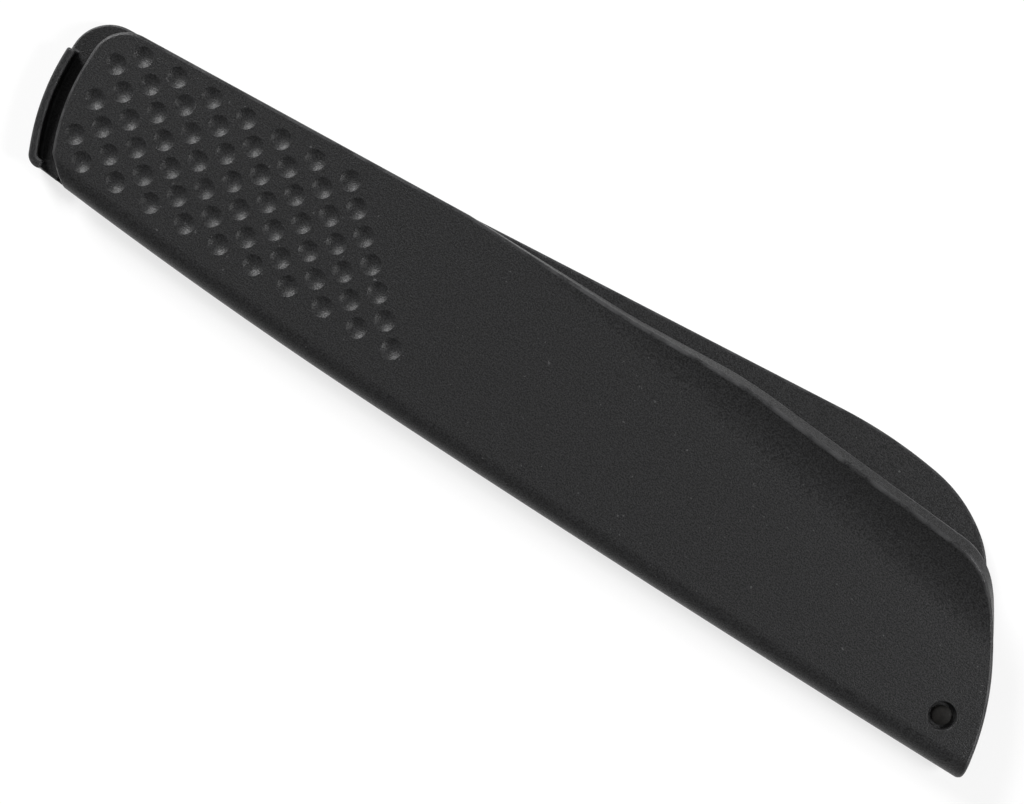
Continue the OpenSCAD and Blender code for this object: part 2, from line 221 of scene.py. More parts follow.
def tip_side(inset, low, foot_radius, corner_radius):
    """Tip side of a leaf, drawn in by inset, from low up to the open edge."""
    left = inset - TIP_REACH
    knee = TIP_KNEE + inset * math.tan(TIP_SLANT / 2)
    foot = left + (knee - low) * math.tan(TIP_SLANT)
    return [
        (foot, low, foot_radius),
        (left, knee, TIP_BOW_RADIUS - inset),
        (left, edge_y(left), corner_radius),
    ]


# %% [markdown]
# ## The front leaf
# The real leaf is one moulded sheet, 3.5 mm thick, with its rim rounded all round. A
# bevel on a bent and dimpled mesh would fold over itself where the flare starts, so the
# leaf is made the way a tinsmith would: a flat blank is cut out, its rim is rounded
# while it is flat, and only then is it bent, twice. One bend rolls the lower edge over
# the hinge, and the other turns the lip up at the heel.

# %% The two bends
LIP_RADIUS = 17.0
LIP_FALL = math.radians(7.2)
LIP_ALONG = Vector((math.cos(LIP_FALL), -math.sin(LIP_FALL)))
LIP_ACROSS = Vector((math.sin(LIP_FALL), math.cos(LIP_FALL)))
HEEL_RADIUS = 60.0
HEEL_LEAN = math.radians(7.3)
HEEL_ARC_END = -0.2
HEEL_CORNER = -0.9
HEEL = Vector((SPINE, 0)) - HEEL_RADIUS * Vector((math.cos(HEEL_LEAN), math.sin(HEEL_LEAN)))
FOOT_START = -0.9
FOOT_LEAN = 1.02
ROLL_WRAP = math.radians(105)


def lip_place(point):
    """How far a point lies along the bend line and beyond it."""
    offset = Vector(point) - FLARE
    return offset.dot(LIP_ALONG), offset.dot(LIP_ACROSS)


def flattened(point):
    """Where a point of the finished leaf, seen from above, lies on the flat blank."""
    along, beyond = lip_place(point)
    if beyond <= 0:
        return Vector(point)
    return FLARE + along * LIP_ALONG + LIP_RADIUS * math.asin(beyond / LIP_RADIUS) * LIP_ACROSS


def heel_x(y):
    """The heel side at a height, straight at its foot, with a slant that takes off the corner."""
    on_arc = max(y, HEEL_ARC_END)
    slant = min(0.0, y - HEEL_CORNER)
    return HEEL.x + math.sqrt(HEEL_RADIUS**2 - (on_arc - HEEL.y) ** 2) + slant


def foot_x(y):
    """The slanting foot of the leaf next to the tip wall."""
    return FOOT_START - FOOT_LEAN * y


# %% [markdown]
# The rolled edge isn't straight: it bows out by 3 mm between its ends, while the pin
# inside stays straight. The bow is two arcs that meet at its deepest point. The leaf is
# bent straight and its lower edge is then drawn out into the bow, fading out over the
# flat part, so each point of the blank is first set back by as much.


# %% The bowed edge
BOW_DEPTH = 3.1
BOW_DEEPEST = 80.0
BOW_TIP_RADIUS = 1220.0
BOW_HEEL_RADIUS = 5400.0
BOW_FADE = 9.0


def bow(x):
    """How far the rolled edge bows out at a place along the hinge."""
    radius = BOW_TIP_RADIUS if x < BOW_DEEPEST else BOW_HEEL_RADIUS
    return BOW_DEPTH - radius + math.sqrt(radius**2 - (x - BOW_DEEPEST) ** 2)


def bowed(x, y):
    """A height on the straight leaf, carried to the bowed one."""
    fade = min(1.0, max(0.0, (ROLL + BOW_FADE - y) / BOW_FADE))
    return y - bow(x) * fade


def unbowed(point):
    """The point of the straight leaf that the bow carries to a point of the flat part."""
    x, y = point
    if y >= ROLL + BOW_FADE:
        return Vector((x, y))
    share = bow(x) / BOW_FADE
    return Vector((x, (y + share * (ROLL + BOW_FADE)) / (1 + share)))


# %% [markdown]
# The blank's outline runs round the leaf: up the heel side, back along the crest of the
# lip and the straight open edge, round the tip and down to the foot. Along the roll the
# blank is longer than the leaf looks from above, because the sheet goes round there.

# %% The blank's outline
CREST = [
    (207.9, 32.7), (202.36, 38.08, 17.5), (142.0, 42.2, 130.0), (116.0, 41.0, 160.0), FLARE[:]
]
CREST_STEP = 5
ROLL_STEPS = 14
HEEL_STEPS = 32
FOOT_MIDDLE_X = -2.0
FOOT_TOP_X = -4.0
FOOT_MARGIN = 0.2
STRAIGHT_SPOT = (30, edge_y(30))


def rolled_side(side_x, x_near):
    """One end of the roll on the blank, from its inner end up, for a side given by height."""
    for step in range(ROLL_STEPS + 1):
        turn = ROLL_WRAP * (1 - step / ROLL_STEPS)
        height = ROLL * (1 - math.sin(turn)) - bow(x_near)
        yield Vector((side_x(height), ROLL * (1 - turn)))


blank = list(rolled_side(heel_x, SPINE - 1))
heel_low = ROLL - bow(SPINE)
for step in range(1, HEEL_STEPS):
    y = heel_low + (CREST[0][1] - heel_low) * step / HEEL_STEPS
    blank.append(flattened(unbowed((heel_x(y), y))))
for start, stop in zip(rounded(CREST), rounded(CREST)[1:]):
    cuts = max(1, round((stop - start).length / CREST_STEP))
    blank += [flattened(start.lerp(stop, k / cuts)) for k in range(cuts)]
blank.append(FLARE)

front_tip = tip_side(FRONT_INSET, low=4.0, foot_radius=4.0, corner_radius=8.0)
tip = rounded([STRAIGHT_SPOT, *reversed(front_tip), (foot_x(0), 0)])[1:-1]
tip_low = ROLL - bow(FOOT_TOP_X) + FOOT_MARGIN
blank += [unbowed(point) for point in tip if point.y > tip_low]
blank += reversed(list(rolled_side(foot_x, FOOT_MIDDLE_X)))
print("the blank's outline has", len(blank), "points")

# %% [markdown]
# The flat blank gets its thickness by extruding the face, and a bevel of four segments
# rounds its rim. It is then cut across by planes along both bend lines, close enough
# together that the bends come out smooth. Cuts across the lower edge let it follow the bow.
# Each vertex is then carried round its bend: the deeper it lies in the sheet, the wider
# or tighter its circle. Points of the outline that nearly meet are merged first, because
# the bevel would fold over on them.

# %% Cut the blank, round its rim and bend it
FRONT_RIM = 0.7
TOO_CLOSE = 0.12
front = outline_face("front_leaf", blank)
edit(front)
bpy.ops.mesh.remove_doubles(threshold=TOO_CLOSE)
bpy.ops.mesh.extrude_region_move(TRANSFORM_OT_translate={"value": (0, 0, LEAF)})
close_up()
round_rim(front, FRONT_RIM)

BOW_CUTS = 28
LIP_CUTS = 22
LIP_CUT_STEP = 0.7
edit(front)
for step in range(LIP_CUTS):
    beyond = FLARE + step * LIP_CUT_STEP * LIP_ACROSS
    bpy.ops.mesh.select_all(action="SELECT")
    bpy.ops.mesh.bisect(plane_co=(*beyond, 0), plane_no=(*LIP_ACROSS, 0))
levels = [ROLL * (1 - ROLL_WRAP * step / ROLL_STEPS) for step in range(ROLL_STEPS)]
for level in [*levels, ROLL + BOW_FADE]:
    bpy.ops.mesh.select_all(action="SELECT")
    bpy.ops.mesh.bisect(plane_co=(0, level, 0), plane_no=(0, 1, 0))
close_edit()

edit(front, "DESELECT")
close_edit()
bow_top = ROLL + BOW_FADE + 0.01
for step in range(1, BOW_CUTS):
    for vertex in front.data.vertices:
        vertex.select = vertex.co.y < bow_top
    only(front)
    bpy.ops.object.mode_set(mode="EDIT")
    bpy.ops.mesh.select_mode(type="VERT")
    bpy.ops.mesh.bisect(plane_co=(SPINE * step / BOW_CUTS, 0, 0), plane_no=(1, 0, 0))
    close_edit()

for vertex in front.data.vertices:
    x, y, height = vertex.co
    depth = LEAF - height
    along, beyond = lip_place((x, y))
    if beyond > 0:
        turn = beyond / LIP_RADIUS
        radius = LIP_RADIUS + depth
        spot = FLARE + along * LIP_ALONG + radius * math.sin(turn) * LIP_ACROSS
        vertex.co = (*spot, GUARD + LIP_RADIUS - radius * math.cos(turn))
    elif y < ROLL:
        turn = (ROLL - y) / ROLL
        radius = ROLL - depth
        outward = ROLL - radius * math.sin(turn) - bow(x)
        vertex.co = (x, outward, ROLL + radius * math.cos(turn))
    else:
        vertex.co = (x, bowed(x, y), GUARD - depth)
front.data.update()
print("the bent leaf has", len(front.data.vertices), "vertices")

# %% [markdown]
# ## Hinge knuckles
# Twelve knuckles share the pin, six on each leaf in turn. Each leaf keeps its own and is
# cut clear round those of the other, so that the two can turn.

# %% Round bars along the hinge
KNUCKLES = 12
KNUCKLE_START = 1.0
KNUCKLE_END = 14.0
KNUCKLE_PITCH = (SPINE - KNUCKLE_END - KNUCKLE_START) / KNUCKLES
KNUCKLE_RADIUS = 3.0
GAP = 0.4
BORE_RADIUS = 1.03
PAST_HEEL = 10


def hinge_bar(start, stop, radius, corners=64):
    """A round bar on the hinge axis."""
    bpy.ops.object.select_all(action="DESELECT")
    bpy.ops.mesh.primitive_cylinder_add(
        vertices=corners, radius=radius, depth=stop - start,
        location=((start + stop) / 2, ROLL, ROLL), rotation=(0, math.pi / 2, 0),
    )
    bar = bpy.context.object
    bpy.ops.object.transform_apply(location=True, rotation=True, scale=True)
    return bar


def knuckle_row(first, radius, grow):
    """Every second knuckle, or with grow the room round it."""
    bars = []
    for i in range(first, KNUCKLES, 2):
        start = KNUCKLE_START + i * KNUCKLE_PITCH
        bars.append(hinge_bar(start - grow, start + KNUCKLE_PITCH - GAP + grow, radius))
    return join(bars)


# %% [markdown]
# Where the edge bows out, it leaves a hollow between the roll and the knuckles. The real
# leaf is solid there, so a narrow web fills it from end to end.

# %% Web behind the roll
WEB_OUT = -0.9
WEB_IN = 1.5
WEB_HEIGHT = 1.6
WEB_STEPS = 30
WEB_INSET = 0.3


def web_line(shift):
    """One long side of the web, which follows the bow at a distance."""
    tip_y = ROLL - bow(FOOT_TOP_X) + shift
    heel_y = ROLL - bow(SPINE) + shift
    places = [SPINE * k / WEB_STEPS for k in range(1, WEB_STEPS)]
    return [
        (foot_x(tip_y) + WEB_INSET, tip_y), *((x, ROLL - bow(x) + shift) for x in places),
        (heel_x(heel_y) - WEB_INSET, heel_y),
    ]


web = outline_face("web", web_line(WEB_OUT) + web_line(WEB_IN)[::-1])
edit(web)
bpy.ops.mesh.extrude_region_move(TRANSFORM_OT_translate={"value": (0, 0, WEB_HEIGHT)})
close_up()
web.data.transform(Matrix.Translation((0, 0, ROLL)))
combine(front, web, "UNION")
print("the front leaf with its web has", len(front.data.polygons), "faces")

# %% [markdown]
# A knuckle is a plain round bar until it is joined to its leaf. The room for the other
# leaf's knuckles is cut with bars that are thicker and longer by the gap, and one long
# thin bar then bores the hole for the pin. It runs out of the heel end, where the plug
# closes it.

# %% Knuckles of the front leaf
combine(front, knuckle_row(1, KNUCKLE_RADIUS, 0), "UNION")
combine(front, knuckle_row(0, KNUCKLE_RADIUS + GAP, GAP), "DIFFERENCE")
combine(front, hinge_bar(KNUCKLE_START, SPINE + PAST_HEEL, BORE_RADIUS), "DIFFERENCE")
print("the front leaf with its knuckles has", len(front.data.polygons), "faces")

# %% [markdown]
# ## Dimples
# The grip field is a square lattice of shallow dimples, turned by 45 degrees. Each is a
# spherical cap with a softly rounded rim. One cutter is made from a sphere, of which only
# the low cap is kept, and its rim is drawn out and up in flatter steps. Copies of it are
# joined and cut out of the leaf at once.

# %% One dimple cutter
DIMPLE_RADIUS = 2.25
DIMPLE_DEPTH = 0.7
BALL_RADIUS = (DIMPLE_RADIUS**2 + DIMPLE_DEPTH**2) / (2 * DIMPLE_DEPTH)
RIM_START = 0.12
RIM_STEPS = [(0.16, 0.075), (0.2, 0.06), (0.25, 0.045), (0.3, 0.04)]
CUTTER_RISE = 1.5


def dimple_cutter():
    """A lens that hangs with its rim at height 0 and reaches down by the dimple's depth."""
    bpy.ops.object.select_all(action="DESELECT")
    bpy.ops.mesh.primitive_uv_sphere_add(
        segments=32, ring_count=72, radius=BALL_RADIUS, location=(0, 0, 0),
    )
    lens = bpy.context.object
    edit(lens)
    bpy.ops.mesh.bisect(
        plane_co=(0, 0, -BALL_RADIUS + DIMPLE_DEPTH - RIM_START), plane_no=(0, 0, 1),
        use_fill=False, clear_outer=True,
    )
    close_edit()
    for vertex in lens.data.vertices:
        vertex.co.z += BALL_RADIUS - DIMPLE_DEPTH
    select_rim(lens)
    for outward, upward in RIM_STEPS:
        radius = max(Vector(v.co[:2]).length for v in lens.data.vertices)
        edit_rim_step(lens, (radius + outward) / radius, upward)
    edit_rim_step(lens, 1.0, CUTTER_RISE)
    edit_fill(lens)
    return lens


def select_rim(piece):
    """Selects the open edge of a shell."""
    edit(piece, "DESELECT", "EDGE")
    bpy.ops.mesh.select_non_manifold()
    close_edit()


def edit_rim_step(piece, scale, rise):
    """Extrudes the selected rim, widens it and lifts it."""
    only(piece)
    bpy.ops.object.mode_set(mode="EDIT")
    bpy.ops.mesh.extrude_edges_move(TRANSFORM_OT_translate={"value": (0, 0, rise)})
    bpy.ops.transform.resize(value=(scale, scale, 1))
    close_edit()


def edit_fill(piece):
    """Closes the selected rim with one face."""
    only(piece)
    bpy.ops.object.mode_set(mode="EDIT")
    bpy.ops.mesh.edge_face_add()
    close_up()


lens = dimple_cutter()
print("one dimple cutter has", len(lens.data.polygons), "faces")

# %% [markdown]
# Seen along its diagonal, the lattice is seven rows, each half a step off the row above.
# Every row reaches one place further towards the heel. The field is turned by two degrees
# against the hinge, as the slanting open edge is. All cutters are joined before the cut,
# because one large cut is quicker and safer than sixty small ones.

# %% The whole field
PITCH = 6.0
HALF_STEP = PITCH / math.sqrt(2)
FIELD_TURN = math.radians(2.1)
FIELD_X = 17.2
FIELD_START = Vector((FIELD_X, edge_y(FIELD_X) - 4.4))
FIELD_ROWS = 7
FIELD_BACK = -5
FIELD_AHEAD = 9

cutters = []
for row in range(FIELD_ROWS):
    for place in range(FIELD_BACK, FIELD_AHEAD + row):
        if (place + row) % 2:
            continue
        spot = Matrix.Rotation(FIELD_TURN, 2) @ Vector((place, -row)) * HALF_STEP + FIELD_START
        cutter = bpy.data.objects.new("cutter", lens.data.copy())
        bpy.context.scene.collection.objects.link(cutter)
        cutter.data.transform(Matrix.Translation((spot.x, spot.y, GUARD)))
        cutters.append(cutter)
bpy.data.objects.remove(lens)
print("dimples:", len(cutters))
combine(front, join(cutters), "DIFFERENCE")
print("the dimpled leaf has", len(front.data.polygons), "faces")

# %% [markdown]
# ## Recesses of the front leaf
# The imported model already has the liner plate, the magnets and the rivet in their exact places.
# A copy of the liner and of each magnet, grown by the fit, is the cutter for its own recess, so
# that the recess can't miss it. The rivet's head gets a stepped hole at its given spot.

# %% Cutters from imported nodes
LINER_FIT = 0.15
MAGNET_FIT = 0.1
STRIP_FIT = 0.02
MAGNETS = 5
RIVET_SPOT = (212.6, 8.0)
HOLE_RINGS = [(3.1, 1.0), (3.1, 0.0), (2.98, -0.06), (2.9, -0.2), (2.9, -1.5)]


def grown_copy(node, by):
    """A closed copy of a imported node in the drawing's millimetres, fattened a little."""
    copy = bpy.data.objects.new(node + "_room", frame["nodes"][node].data.copy())
    bpy.context.scene.collection.objects.link(copy)
    copy.data.transform(Matrix.Scale(1000, 4) @ Matrix.Translation(-HINGE_START))
    copy.data.materials.clear()
    edit(copy)
    bpy.ops.mesh.remove_doubles(threshold=0.001)
    bpy.ops.transform.shrink_fatten(value=by, use_even_offset=True)
    close_edit()
    return copy


def sunk_hole(side):
    """The stepped hole round the rivet's head; side is 1 on the front and -1 on the back."""
    surface = GUARD if side > 0 else 0.0
    first, height = HOLE_RINGS[0]
    bpy.ops.object.select_all(action="DESELECT")
    bpy.ops.mesh.primitive_circle_add(vertices=48, radius=first, location=(0, 0, 0))
    hole = bpy.context.object
    edit(hole)
    bpy.ops.transform.translate(value=(0, 0, side * height))
    for (wide, _), (narrow, level) in zip(HOLE_RINGS, HOLE_RINGS[1:]):
        bpy.ops.mesh.extrude_edges_move(
            TRANSFORM_OT_translate={"value": (0, 0, side * (level - height))}
        )
        bpy.ops.transform.resize(value=(narrow / wide, narrow / wide, 1))
        height = level
    bpy.ops.mesh.edge_face_add()
    bpy.ops.mesh.select_all(action="DESELECT")
    bpy.ops.mesh.select_non_manifold()
    bpy.ops.mesh.edge_face_add()
    close_up()
    hole.data.transform(Matrix.Translation((*RIVET_SPOT, surface)))
    return hole


combine(front, grown_copy("front_liner", LINER_FIT), "DIFFERENCE")
for i in range(1, MAGNETS + 1):
    combine(front, grown_copy(f"front_magnet_{i}", MAGNET_FIT), "DIFFERENCE")
combine(front, sunk_hole(1), "DIFFERENCE")
print("the front leaf with its recesses has", len(front.data.polygons), "faces")

# %% [markdown]
# ## The back leaf
# The back leaf is a flat plate that reaches past the front leaf at the tip and behind
# the flare. A thin wall stands on it along the tip side, flush with its edge. The plate and
# the wall start as two faces that share their common line, so the wall can be drawn up
# out of the plate, and one bevel then rounds every rim of both. The curved edge behind
# the flare is called the sail here.

# %% Outline of the back leaf and its wall
WALL_HEIGHT = 2.8
WALL_TOP = 25.0
FLOOR_EDGE = ROLL + GAP
TOE_END = GAP - KNUCKLE_START
WALL_END = -6.7

SAIL = [(173.0, 50.59, 100.0), (193.05, 48.12, 31.0), (203.66, 40.13, 20.0)]
SAIL_FALL = math.radians(64)
INNER_X = 60
sail_foot = SAIL[-1][0] + (SAIL[-1][1] - FLOOR_EDGE) / math.tan(SAIL_FALL)
back_tip = tip_side(0, low=0, foot_radius=3.0, corner_radius=9.0)
wall_tip = tip_side(WALL, low=WALL, foot_radius=1.1, corner_radius=7.1)
around = rounded([
    (TOE_END, FLOOR_EDGE), (TOE_END, -bow(TOE_END)), *back_tip, FLARE[:], *SAIL,
    (sail_foot, FLOOR_EDGE),
])
within = rounded([(INNER_X, WALL), *wall_tip, (INNER_X, edge_y(INNER_X))])[1:-1]

outer = [p for p in around if p.x < WALL_END and p.y < WALL_TOP]
inner = [p for p in within if p.x < WALL_END and p.y < WALL_TOP]
wall_outline = [
    Vector((WALL_END, 0)), *outer, Vector((-TIP_REACH, WALL_TOP)),
    Vector((WALL - TIP_REACH, WALL_TOP)), *reversed(inner), Vector((WALL_END, WALL)),
]
rest = around[around.index(outer[-1]) + 1 :]
floor_outline = [
    *around[: around.index(outer[0])], Vector((WALL_END, 0)), Vector((WALL_END, WALL)),
    *inner, Vector((WALL - TIP_REACH, WALL_TOP)), Vector((-TIP_REACH, WALL_TOP)), *rest,
]
print("wall and plate outlines:", len(wall_outline), len(floor_outline), "points")

# %% [markdown]
# Both faces are raised by the thickness of the plate. The top of the wall is then found
# as the only small face that looks up, and is raised again. Extruding keeps wall and
# plate in one piece, where a separate wall would leave a seam inside.

# %% Raise the plate and the wall
BACK_RIM = 0.5
LARGEST_WALL_TOP = 200
back = join([outline_face("back_leaf", floor_outline), outline_face("wall", wall_outline)])
edit(back)
bpy.ops.mesh.remove_doubles(threshold=0.001)
bpy.ops.mesh.extrude_region_move(TRANSFORM_OT_translate={"value": (0, 0, LEAF)})
close_edit()
edit(back, "DESELECT", "FACE")
close_edit()
for face in back.data.polygons:
    faces_up = face.normal.z > 0.9 and face.center.z > LEAF - 0.01
    face.select = faces_up and face.area < LARGEST_WALL_TOP
only(back)
bpy.ops.object.mode_set(mode="EDIT")
bpy.ops.mesh.extrude_region_move(TRANSFORM_OT_translate={"value": (0, 0, WALL_HEIGHT)})
close_up()
round_rim(back, BACK_RIM)
print("the plate and its wall have", len(back.data.polygons), "faces")

# %% [markdown]
# The back leaf gets the other six knuckles and its own recesses in the same way. Its toe
# reaches in front of the first knuckle, where the rolled edge would run into it, so a
# trough round the hinge axis makes room there. The trough ends at the plate's edge.

# %% Knuckles, clearances and recesses of the back leaf
TROUGH_START = -2.9
combine(back, knuckle_row(0, KNUCKLE_RADIUS, 0), "UNION")
combine(back, knuckle_row(1, KNUCKLE_RADIUS + GAP, GAP), "DIFFERENCE")
trough = hinge_bar(TROUGH_START, KNUCKLE_START, ROLL + GAP + bow(TOE_END), corners=96)
edit(trough)
bpy.ops.mesh.bisect(
    plane_co=(0, FLOOR_EDGE, 0), plane_no=(0, 1, 0), use_fill=True, clear_outer=True
)
close_edit()
combine(back, trough, "DIFFERENCE")
combine(back, hinge_bar(KNUCKLE_START + GAP, SPINE, BORE_RADIUS), "DIFFERENCE")
combine(back, grown_copy("back_liner", LINER_FIT), "DIFFERENCE")
combine(back, grown_copy("edge_rest", STRIP_FIT), "DIFFERENCE")
for i in range(1, MAGNETS + 1):
    combine(back, grown_copy(f"back_magnet_{i}", MAGNET_FIT), "DIFFERENCE")
combine(back, sunk_hole(-1), "DIFFERENCE")
print("the back leaf with its recesses has", len(back.data.polygons), "faces")

# %% [markdown]
# Smooth shading would let the rounded rims tint the flat faces beside them. A weighted
# normal gives each flat face its own normal and lets only the narrow rim turn. Each
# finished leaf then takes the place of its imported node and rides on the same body, so it
# turns with the hinge.

# %% Shade both leaves and bring them into the frame
SMOOTH_BELOW = math.radians(32)
for leaf in (front, back):
    only(leaf)
    bpy.ops.object.shade_smooth_by_angle(angle=SMOOTH_BELOW)
    apply_modifier(leaf, "WEIGHTED_NORMAL", weight=60, keep_sharp=True)
    settle(leaf)

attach(front, "front")
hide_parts("front_shell")
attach(back, "back")
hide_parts("back_shell")

# %% [markdown]
# ## Finishes
# The leaves are moulded in a fine matte grain that shows as a faint speckle. The grain is
# a bump from fine noise, and the same noise varies the roughness a little, because a
# moulded grain is glossier on its crests. All noise reads object coordinates, so it stays
# the same size on every piece.


# %% A finish with grain
GLOSS_CHANGE = 0.08


def grain_finish(name, colour, roughness, grain, height, spread):
    """A plastic with a moulded grain: grain in grains per metre, height in metres."""
    finish = bpy.data.materials.new(name)
    finish.use_nodes = True
    nodes, links = finish.node_tree.nodes, finish.node_tree.links
    shader = nodes["Principled BSDF"]
    place = nodes.new("ShaderNodeTexCoord")
    fine = nodes.new("ShaderNodeTexNoise")
    fine.inputs["Scale"].default_value = grain
    fine.inputs["Detail"].default_value = 3.0
    fine.inputs["Roughness"].default_value = 0.6
    links.new(place.outputs["Object"], fine.inputs["Vector"])
    bump = nodes.new("ShaderNodeBump")
    bump.inputs["Strength"].default_value = 1.0
    bump.inputs["Distance"].default_value = height
    links.new(fine.outputs["Fac"], bump.inputs["Height"])
    links.new(bump.outputs["Normal"], shader.inputs["Normal"])
    gloss = nodes.new("ShaderNodeMapRange")
    gloss.inputs["From Min"].default_value = 0.3
    gloss.inputs["From Max"].default_value = 0.7
    gloss.inputs["To Min"].default_value = roughness + GLOSS_CHANGE
    gloss.inputs["To Max"].default_value = roughness - GLOSS_CHANGE
    links.new(fine.outputs["Fac"], gloss.inputs["Value"])
    links.new(gloss.outputs["Result"], shader.inputs["Roughness"])
    tone = nodes.new("ShaderNodeValToRGB")
    dark, light = (tuple(c * (1 + s * spread) for c in colour) + (1,) for s in (-1, 1))
    tone.color_ramp.elements[0].position = 0.38
    tone.color_ramp.elements[0].color = dark
    tone.color_ramp.elements[1].position = 0.62
    tone.color_ramp.elements[1].color = light
    links.new(fine.outputs["Fac"], tone.inputs["Fac"])
    links.new(tone.outputs["Color"], shader.inputs["Base Color"])
    print("finish:", name)
    return finish


def set_specular(finish, level):
    """Sets how strongly the surface mirrors its surroundings."""
    finish.node_tree.nodes["Principled BSDF"].inputs["Specular IOR Level"].default_value = level


# %% [markdown]
# Use leaves its marks: the rims are lighter in patches, partly as rubbing and partly as a painted
# highlight that stands in for light catching the rounded rims, and a few light flecks sit on the
# faces. Both are a second, paler colour that a noise of its own lets through. The bevel gave the
# rims the second material of each leaf, so the patches stay on the rims.


# %% Rims lighter by wear and by a painted highlight, and flecks
def lighten(finish, colour, grain, low, high):
    """Blends in a lighter colour wherever a noise of its own rises from low to high."""
    nodes, links = finish.node_tree.nodes, finish.node_tree.links
    patches = nodes.new("ShaderNodeTexNoise")
    patches.inputs["Scale"].default_value = grain
    links.new(nodes["Texture Coordinate"].outputs["Object"], patches.inputs["Vector"])
    share = nodes.new("ShaderNodeMapRange")
    share.inputs["From Min"].default_value = low
    share.inputs["From Max"].default_value = high
    links.new(patches.outputs["Fac"], share.inputs["Value"])
    blend = nodes.new("ShaderNodeMix")
    blend.data_type = "RGBA"
    plain, light = [socket for socket in blend.inputs if socket.type == "RGBA"]
    links.new(share.outputs["Result"], blend.inputs[0])
    links.new(nodes["Color Ramp"].outputs["Color"], plain)
    light.default_value = (*colour, 1)
    links.new(
        [socket for socket in blend.outputs if socket.type == "RGBA"][0],
        nodes["Principled BSDF"].inputs["Base Color"],
    )


def leaf_plastic(name, roughness):
    """The black plastic of the leaves."""
    finish = grain_finish(
        name, (0.019, 0.019, 0.0195), roughness, grain=3200, height=0.0001, spread=0.6
    )
    set_specular(finish, 0.2)
    return finish


black_plastic = leaf_plastic("black_plastic", 0.35)
lighten(black_plastic, (0.06, 0.06, 0.061), grain=900, low=0.735, high=0.76)
# The rims' paler patches are partly wear and partly a painted highlight of light on the rounded
# rims.
rim_wear_and_painted_highlight = leaf_plastic("rim_wear_and_painted_highlight", 0.33)
lighten(rim_wear_and_painted_highlight, (0.042, 0.042, 0.043), grain=260, low=0.35, high=0.65)
liner_plastic = grain_finish(
    "liner_plastic", (0.05, 0.05, 0.052), 0.42, grain=900, height=0.00001, spread=0.06
)
# The rivets' darker colour and weaker reflection are painted shade of the hole that they sit in.
rivet_plastic_painted_shade = grain_finish(
    "rivet_plastic_painted_shade", (0.009, 0.0085, 0.008), 0.6, grain=1500, height=0.00003, spread=0.2
)
set_specular(rivet_plastic_painted_shade, 0.1)
soft_rubber = grain_finish(
    "soft_rubber", (0.04, 0.04, 0.04), 0.85, grain=1500, height=0.00004, spread=0.1
)

# %% [markdown]
# The pin is drawn steel and the magnets are plated with nickel. Both are bare metal, so
# the same grain serves with the metal share at its full value. Drawing leaves fine lines
# along the pin: stretching the noise along X turns its grains into such lines.


# %% Metals that are drawn or plated
def metal_finish(name, colour, roughness, stretch, height):
    """A metal whose fine lines run along X by the stretch."""
    finish = grain_finish(name, colour, roughness, 1200, height, 0.08)
    nodes, links = finish.node_tree.nodes, finish.node_tree.links
    nodes["Principled BSDF"].inputs["Metallic"].default_value = 1.0
    lines = nodes.new("ShaderNodeMapping")
    lines.inputs["Scale"].default_value = (1 / stretch, 1, 1)
    links.new(nodes["Texture Coordinate"].outputs["Object"], lines.inputs["Vector"])
    links.new(lines.outputs["Vector"], nodes["Noise Texture"].inputs["Vector"])
    return finish


pin_steel = metal_finish(
    "pin_steel", (0.62, 0.63, 0.65), 0.3, stretch=40, height=0.000004
)
nickel_plate = metal_finish(
    "nickel_plate", (0.72, 0.7, 0.66), 0.22, stretch=1, height=0.000002
)

# %% [markdown]
# The record names the kind of each imported piece, and the kind gives its finish. Only the rivets
# get a finish by name: their heads sit in a hole, and their colour is painted darker and duller
# than the leaf, as painted shade of that hole. The leaves already have two empty places, for the
# faces and for the rims.


# %% Give every piece its finish
def dress(piece, finish):
    """Gives a piece one finish."""
    piece.data.materials.clear()
    piece.data.materials.append(finish)


for leaf in (front, back):
    leaf.data.materials[0] = black_plastic
    leaf.data.materials[1] = rim_wear_and_painted_highlight
finishes = {
    "shell": black_plastic, "liner": liner_plastic, "edge_strip": soft_rubber,
    "pin": pin_steel, "magnet": nickel_plate,
}
slots = {part["node"]: part["material_slot"] for part in frame["record"]["subparts"]}
for name, node in frame["nodes"].items():
    dress(node, rivet_plastic_painted_shade if "rivet" in name else finishes[slots[name]])
print("dressed", len(frame["nodes"]), "packed nodes and 2 leaves")

# %% [markdown]
# ## Studio
# The guard lies on a white table, which is white to the camera and in reflections. The
# far surroundings are white to the camera too, but dim in reflections. The light itself
# stays plain: a soft lamp low on the upper left, a weaker one from the right, and a dim
# ceiling, so that the rolled edge and the hollow of the lip fall dark as they do on the
# real guard.


# %% White surroundings
CEILING_STRENGTH = 0.16
HORIZON_LOW = 0.3
HORIZON_HIGH = 0.5


def seen_directly(tree, mirrored):
    """1 for camera and see-through rays, mirrored for mirror rays, 0 for rays that carry light."""
    rays = tree.nodes.new("ShaderNodeLightPath")
    total = rays.outputs["Is Camera Ray"]
    for name, share in (("Is Glossy Ray", mirrored), ("Is Transmission Ray", 1.0)):
        part = tree.nodes.new("ShaderNodeMath")
        part.operation = "MULTIPLY_ADD"
        tree.links.new(rays.outputs[name], part.inputs[0])
        part.inputs[1].default_value = share
        tree.links.new(total, part.inputs[2])
        total = part.outputs["Value"]
    return total


